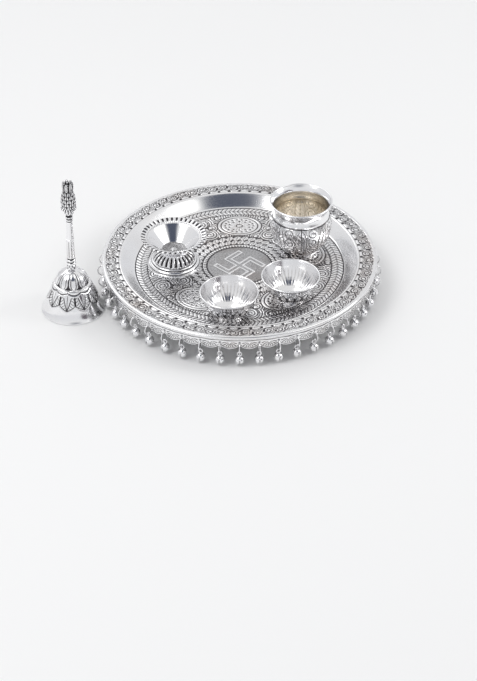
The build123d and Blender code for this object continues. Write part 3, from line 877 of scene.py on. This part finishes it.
def bowl_ground(petals):
    """Ground of a bowl's petals outside and its narrow flutes inside."""
    foot_edge = 12.4
    petal_foot = 2.8
    petal_tip = 16.2
    lip_line = 21.4

    def ground(radius, bearing, height, inward, facing):
        if radius < foot_edge or not petal_foot < height < 22:
            return 0
        turn = bearing / tau * petals
        if inward:
            flute = 1 - sqrt(clamp(swell(2 * turn)))
            streak = flute * clamp((18 - height) * 0.25) * clamp((height - 3.6) * 0.5)
            return 0.17 * streak, 0.3 * streak
        if height > 20:
            return 0, 0.7 * ridge(height - lip_line, 0.6)
        tip = petal_tip - 2.6 * (1 - swell(turn))
        span = clamp((tip - height) * 0.7) * clamp((height - petal_foot) * 0.9)
        groove = 1 - sqrt(clamp(swell(turn)))
        mark = ridge(height - tip + 0.5, 0.7)
        veins = 0.3 * ridge(split(turn)[1], 0.1) * span
        return clamp(span * groove + 0.3 * mark), clamp(0.95 * span * groove + 0.9 * mark + veins)

    return ground


class THALI_OT_bowls(Operator):
    """Spin the two petalled bowls"""

    bl_idname = "thali.bowls"
    bl_label = "Bowls"

    def execute(self, context):
        lip_roll = 0.8
        foot = [(0, 2.6), (11.8, 2.6), (11.8, 0), (13, 0)]
        outside = (
            (13, 2.6), (15.3, 3.7), (17.4, 5.2), (20.7, 9.1), (22, 11.3), (22.9, 13.8), (23.4, 16.2),
            (24.3, 18.5), (25.1, 20.9), (25.9, 22.5),
        )
        inside = (
            (25.15, 23.1), (24.3, 20.9), (23.4, 18.7), (22.5, 16.5), (21.4, 14.3), (20.3, 12.2), (19, 10.1),
            (17.5, 8.2), (15.9, 6.4), (14.1, 4.9), (12.1, 3.6),
        )
        for node in ("bowl_left", "bowl_right"):
            axis = foot_of(node)
            lip = radius_of(node) / MM
            top = height_of(node) / MM
            outline = foot + flowing(outside, 6)
            outline += arc((lip - lip_roll, top - lip_roll), lip_roll, -75, 175, 8)
            outline += flowing(inside, 5) + [(0, 3.5)]
            bowl = lathe(f"{node}_petalled", outline, axis, steps=320)
            chase(bowl, axis, 0.8 * MM, bowl_ground(context.scene.thali_sizes.bowl_petals))
            finish_piece(bowl, node, "burnished_silver", (node,))
        return {"FINISHED"}


def spin_bell(petals):
    """Spins the bell's two-tier cup and chases a ring of petals on each tier."""
    axis = foot_of("bell_body")
    mouth = radius_of("bell_body") / MM
    top = height_of("bell_body") / MM
    dome_top = 41.6
    tier_line = 29.3
    petal_end = 9
    dome = (
        (4.8, top), (7, 41.3), (9, 40.3), (10.9, 39), (12.5, 37.4), (13.7, 35.5), (14.6, 33.4),
        (15.3, 31.2), (15.6, 29.1),
    )
    skirt = (
        (17.1, 28.9), (18.2, 26.2), (19.4, 23.4), (20.6, 20.6), (21.8, 17.8), (22.9, 15), (23.9, 12.1),
        (24.8, 9.2), (25.8, 6.4), (27.1, 3.7), (mouth, 1.3),
    )
    inside = (
        (mouth - 2.2, 0), (24.7, 3.4), (23.5, 7.2), (22.6, 11.1), (21.6, 14.9), (19.9, 18.5), (17.9, 22),
        (15.8, 25.4), (14.2, 29), (13.6, 32.2), (12.4, 35.1), (10.4, 37.7), (7.8, 39.5), (4.8, 40.6),
    )
    outline = [(0, top)] + flowing(dome, 4) + flowing(skirt, 5) + [(mouth, 0.3), (mouth - 0.3, 0)]
    outline += flowing(inside, 2) + [(0, 40.6)]
    bell = lathe("bell_body_petalled", outline, axis, steps=432)

    def dome_petal(turn, height):
        along = (dome_top - height) / 12.3
        across = split(turn)[1] * 2
        half = 0.93 * sqrt(clamp(1 - clamp(along - 0.5) ** 2 * 3.6))
        gap = clamp((abs(across) - half) * 7 + 0.6)
        echo = ridge(abs(across) - 0.55 * half, 0.14)
        return max(gap, 0.75 * echo * clamp(along * 4))

    def skirt_petal(turn, height):
        scallop = 27.4 - 1.8 * sqrt(clamp(swell(turn)))
        petal_start = scallop - 2.2
        if height > petal_start:
            return max(ridge(height - scallop, 0.9), 0.5 * ridge(height - 28.6, 0.5))
        petal_length = 13
        along = (petal_start - height) / petal_length
        across = split(turn + 0.5)[1] * 2
        edge = 1.02 - 0.5 * abs(across)
        if along > edge:
            return ridge((along - edge) * petal_length, 1.2)
        inner = abs(across) - 0.55 * (1 - along)
        hatch = ridge(split(along * 4.5 - abs(across) * 1.5)[1], 0.22)
        return max(
            0.85 * hatch if inner > 0.08 else 0, ridge(abs(across) - 0.96, 0.12),
            0.9 * ridge(inner, 0.1), 0.7 * ridge(across, 0.07))

    def tiers(radius, bearing, height, inward, facing):
        if inward or not petal_end < height < dome_top:
            return 0
        petal = dome_petal if height > tier_line else skirt_petal
        return petal(bearing / tau * petals, height)

    chase(bell, axis, 0.8 * MM, tiers)
    finish_piece(bell, "hand_bell", "chased_silver", ("bell_body",))


def turn_handle(flutes):
    """Spins the bell's handle: bulb, two collars, fluted shaft with a band, two rings and a knop."""
    axis = foot_of("bell_handle")
    start = (foot_of("bell_body").z + height_of("bell_body") - axis.z) / MM
    knop = (foot_of("bell_finial").z - axis.z) / MM
    end = height_of("bell_handle") / MM
    tenon = 1.8
    neck = 2.5
    outline = [(0, 0), (tenon, 0), (tenon, start), (neck, start)]
    outline += flowing((
        (neck, start), (4.1, start + 2), (4.3, start + 3.5), (4.1, start + 5), (neck, start + 7),
    ), 4)
    height = start + 7
    for collar in range(2):
        outline += [(4.1, height), (4.4, height + 0.3), (4.4, height + 1.9), (4.1, height + 2.2)]
        outline += [(2.6, height + 2.3), (2.6, height + 3.3)]
        height += 3.4
    outline += run((3.7, height), (3.25, height + 19), 12) + [(3.55, height + 19), (3.55, height + 20)]
    outline += run((3.2, height + 20.1), (2.8, height + 39), 8) + [(2.8, height + 39)]
    height += 39
    for ring in range(2):
        outline += [(neck, height + 0.1), (neck, height + 1.1), (3.3, height + 1.3), (3.3, height + 2.6)]
        height += 2.7
    knop_foot = height + 1.2
    outline += [(neck, height + 0.1)]
    outline += flowing((
        (neck, knop_foot), (4, knop_foot + 1.7), (4.5, knop_foot + 3.3), (4, knop - 1.7), (neck, knop),
    ), 4)
    outline += [(tenon, knop), (tenon, end), (0, end)]
    handle = lathe("bell_handle_fluted", outline, axis, steps=96)
    shaft = start + 13.8
    groove_radius = 2.7

    def turnings(radius, bearing, height, inward, facing):
        if radius < groove_radius and start < height < knop:
            return 0, 0.95
        if shaft + 1 < height < shaft + 18:
            groove = clamp(1 - 1.5 * sqrt(clamp(swell(bearing / tau * flutes))))
            return groove, 0.7 * groove
        if height > shaft + 44 or height < start + 6.5:
            scale = split(bearing / tau * 8 + 0.5 * floor(height / 2))[1]
            return 0.5 * ridge(abs(scale) - 0.5, 0.2), 0.9 * ridge(abs(scale) - 0.5, 0.25)
        return 0

    chase(handle, axis, 0.5 * MM, turnings)
    finish_piece(handle, "hand_bell", "chased_silver", ("bell_handle",))


def build_finial(bud_scales, crown_leaves):
    """Spins the finial's bud, sets a crown of leaves on it, and chases both."""
    axis = foot_of("bell_finial")
    flange_top = 2.2
    bud_top = 18.9
    scale_height = 3.4
    lean = radians(9)
    leaf_out = 2.7 + 5.25 * sin(lean)
    leaf_up = 17.5 + 4.9 * cos(lean)
    outline = [(0, 0), (6.6, 0), (7, 0.3), (7, 1.6), (6.6, 2), (6.2, 2.05)]
    outline += flowing((
        (6.2, 2.1), (6.66, 4.1), (6.86, 6.3), (6.88, 8.4), (6.72, 10.6), (6.44, 12.8), (6, 14.9),
        (5.4, 17), (4.6, 18.9),
    ), 5)
    outline += [(0, 19)]
    bud = lathe("bell_finial_scaled", outline, axis, steps=144)
    for number in range(crown_leaves):
        bearing = tau * number / crown_leaves
        middle = Vector((leaf_out * cos(bearing), leaf_out * sin(bearing), leaf_up)) * MM
        bpy.ops.mesh.primitive_uv_sphere_add(
            segments=24, ring_count=20, radius=MM, location=axis + middle, rotation=(0, lean, bearing))
        bpy.context.object.scale = (1.7, 2.3, 5.7)
        bpy.ops.object.transform_apply(location=True, rotation=True, scale=True)
        bud.select_set(True)
        bpy.context.view_layer.objects.active = bud
        bpy.ops.object.join()

    def scales(radius, bearing, height, inward, facing):
        turn = bearing / tau
        if height < flange_top:
            notch = 1 - swell(turn * 2 * bud_scales)
            return 0.5 * notch, 0.9 * notch
        if height > bud_top:
            off = abs(split(turn * crown_leaves)[1])
            mark = max(ridge(off - 0.5, 0.2), 0.7 * ridge(split(height / 2.2 + 3 * off)[1], 0.28))
            return 0.4 * mark, 0.15 + mark
        rows = (height - flange_top) / scale_height
        row = floor(rows)
        along = rows - row
        across = split(turn * bud_scales + 0.5 * row)[1] * 2
        edge = sqrt(clamp(1 - along**2 * 0.9))
        share = max(clamp((abs(across) - edge) * 4 + 0.8), 0.8 * ridge(across, 0.2))
        return share, 0.15 + 1.2 * share

    bpy.context.view_layer.objects.active = bud
    chase(bud, axis, 0.7 * MM, scales)
    finish_piece(bud, "hand_bell", "chased_silver", ("bell_finial",))


class THALI_OT_bell(Operator):
    """Spin the hand bell, its turned handle and its finial"""

    bl_idname = "thali.bell"
    bl_label = "Hand Bell"

    def execute(self, context):
        sizes = context.scene.thali_sizes
        spin_bell(sizes.bell_petals)
        turn_handle(sizes.shaft_flutes)
        build_finial(sizes.bud_scales, sizes.crown_leaves)
        return {"FINISHED"}


# Each card in the studio's sky: its way from the set, where its soft edge starts and ends, and its colour
STUDIO_CARDS = (
    ((0.1, -0.45, 0.9), 0.9, 0.975, (0.1, 0.115, 0.16, 1)),
    ((0.8, -0.6, 0.05), 0.9, 0.97, (0.13, 0.11, 0.13, 1)),
    ((0.62, -0.2, 0.77), 0.965, 0.985, (1.9, 1.9, 1.86, 1)),
)

# Each lamp: its name, place, width and power
STUDIO_LAMPS = (
    ("key", (-0.9, -0.4, 1.5), 0.9, 7),
    ("side", (1.4, 0.1, 0.9), 0.6, 4),
    ("back", (-0.7, 1.3, 1.6), 1.2, 3),
)


class THALI_OT_stage(Operator):
    """Lay the floor, light the set and aim the camera"""

    bl_idname = "thali.stage"
    bl_label = "Stage"

    def execute(self, context):
        stage = context.scene.thali_stage
        axis = foot_of("thali_tray")
        bpy.ops.object.select_all(action="DESELECT")
        bpy.ops.mesh.primitive_plane_add(size=16, location=(0, 0, -0.05 * MM))
        ground = bpy.context.object
        ground.name = "floor"
        material = bpy.data.materials.new("floor")
        material.use_nodes = True
        shader = material.node_tree.nodes["Principled BSDF"]
        shader.inputs["Base Color"].default_value = stage.floor_colour
        shader.inputs["Roughness"].default_value = 0.7
        ground.data.materials.append(material)

        world = bpy.data.worlds.new("studio")
        context.scene.world = world
        world.use_nodes = True
        tree = world.node_tree
        tree.nodes.clear()
        way = place_node(tree, "ShaderNodeTexCoord").outputs["Generated"]
        rise = place_node(tree, "ShaderNodeSeparateXYZ", {"Vector": way})
        sky = place_node(tree, "ShaderNodeValToRGB", {"Fac": rise.outputs["Z"]})
        horizon, high = sky.color_ramp.elements
        horizon.position = 0.0
        horizon.color = (0.88, 0.89, 0.92, 1)
        high.position = 0.8
        high.color = (1, 1, 1, 1)
        colour = sky.outputs["Color"]
        for card_way, near, far, shade in STUDIO_CARDS:
            toward = place_node(
                tree, "ShaderNodeVectorMath", {0: way, 1: Vector(card_way).normalized()},
                operation="DOT_PRODUCT")
            edge = place_node(
                tree, "ShaderNodeMapRange",
                {"Value": toward.outputs["Value"], "From Min": near, "From Max": far},
                interpolation_type="SMOOTHSTEP")
            colour = mix_colours(tree, edge.outputs["Result"], colour, shade)
        glow = place_node(tree, "ShaderNodeBackground", {"Color": colour, "Strength": 0.82})
        place_node(tree, "ShaderNodeOutputWorld", {"Surface": glow.outputs["Background"]})

        for name, spot, size, power in STUDIO_LAMPS:
            lamp = bpy.data.objects.new(name, bpy.data.lights.new(name, "AREA"))
            lamp.data.shape = "DISK"
            lamp.data.size = size
            lamp.data.energy = power
            lamp.location = spot
            lamp.rotation_euler = (axis - Vector(spot)).to_track_quat("-Z", "Y").to_euler()
            context.scene.collection.objects.link(lamp)

        sensor = 36
        aside = 0.9 * MM
        camera = bpy.data.objects.new("camera", bpy.data.cameras.new("camera"))
        camera.data.sensor_fit = "VERTICAL"
        camera.data.sensor_height = sensor
        camera.data.lens = sensor * stage.distance / stage.view_height
        camera.data.shift_y = stage.shift
        aim = Vector((axis.x - aside, axis.y, axis.z + height_of("thali_tray")))
        back = Vector((0, -cos(stage.elevation), sin(stage.elevation)))
        camera.location = aim + back * stage.distance
        camera.rotation_euler = (-back).to_track_quat("-Z", "Y").to_euler()
        camera.data.clip_end = 100
        context.scene.collection.objects.link(camera)
        context.scene.camera = camera
        context.scene.view_settings.view_transform = "Standard"
        return {"FINISHED"}


OPERATORS = (
    THALI_OT_stage,
    THALI_OT_tray,
    THALI_OT_sign,
    THALI_OT_skirt,
    THALI_OT_fringe,
    THALI_OT_kalash,
    THALI_OT_diya,
    THALI_OT_bowls,
    THALI_OT_bell,
)


class THALI_PT_panel(Panel):
    """Sizes, finish and pieces of the thali set"""

    bl_label = "Puja Thali Set"
    bl_space_type = "VIEW_3D"
    bl_region_type = "UI"
    bl_category = "Thali"

    def draw(self, context):
        scene = context.scene
        for group in (scene.thali_sizes, scene.thali_finish, scene.thali_stage):
            column = self.layout.column(align=True)
            for name in group.__annotations__:
                column.prop(group, name)
        for operator in OPERATORS:
            self.layout.operator(operator.bl_idname)


CLASSES = (ThaliSizes, ThaliFinish, ThaliStage, *OPERATORS, THALI_PT_panel)


def register():
    """Registers the classes and hangs the settings on the scene."""
    for item in CLASSES:
        bpy.utils.register_class(item)
    bpy.types.Scene.thali_sizes = PointerProperty(type=ThaliSizes)
    bpy.types.Scene.thali_finish = PointerProperty(type=ThaliFinish)
    bpy.types.Scene.thali_stage = PointerProperty(type=ThaliStage)


def unregister():
    """Takes the settings and the classes away again."""
    del bpy.types.Scene.thali_stage
    del bpy.types.Scene.thali_finish
    del bpy.types.Scene.thali_sizes
    for item in reversed(CLASSES):
        bpy.utils.unregister_class(item)


def main():
    register()
    bpy.ops.thali.stage()
    bpy.ops.thali.tray()
    bpy.ops.thali.sign()
    bpy.ops.thali.skirt()
    bpy.ops.thali.fringe()
    bpy.ops.thali.kalash()
    bpy.ops.thali.diya()
    bpy.ops.thali.bowls()
    bpy.ops.thali.bell()


if __name__ == "__main__":
    main()
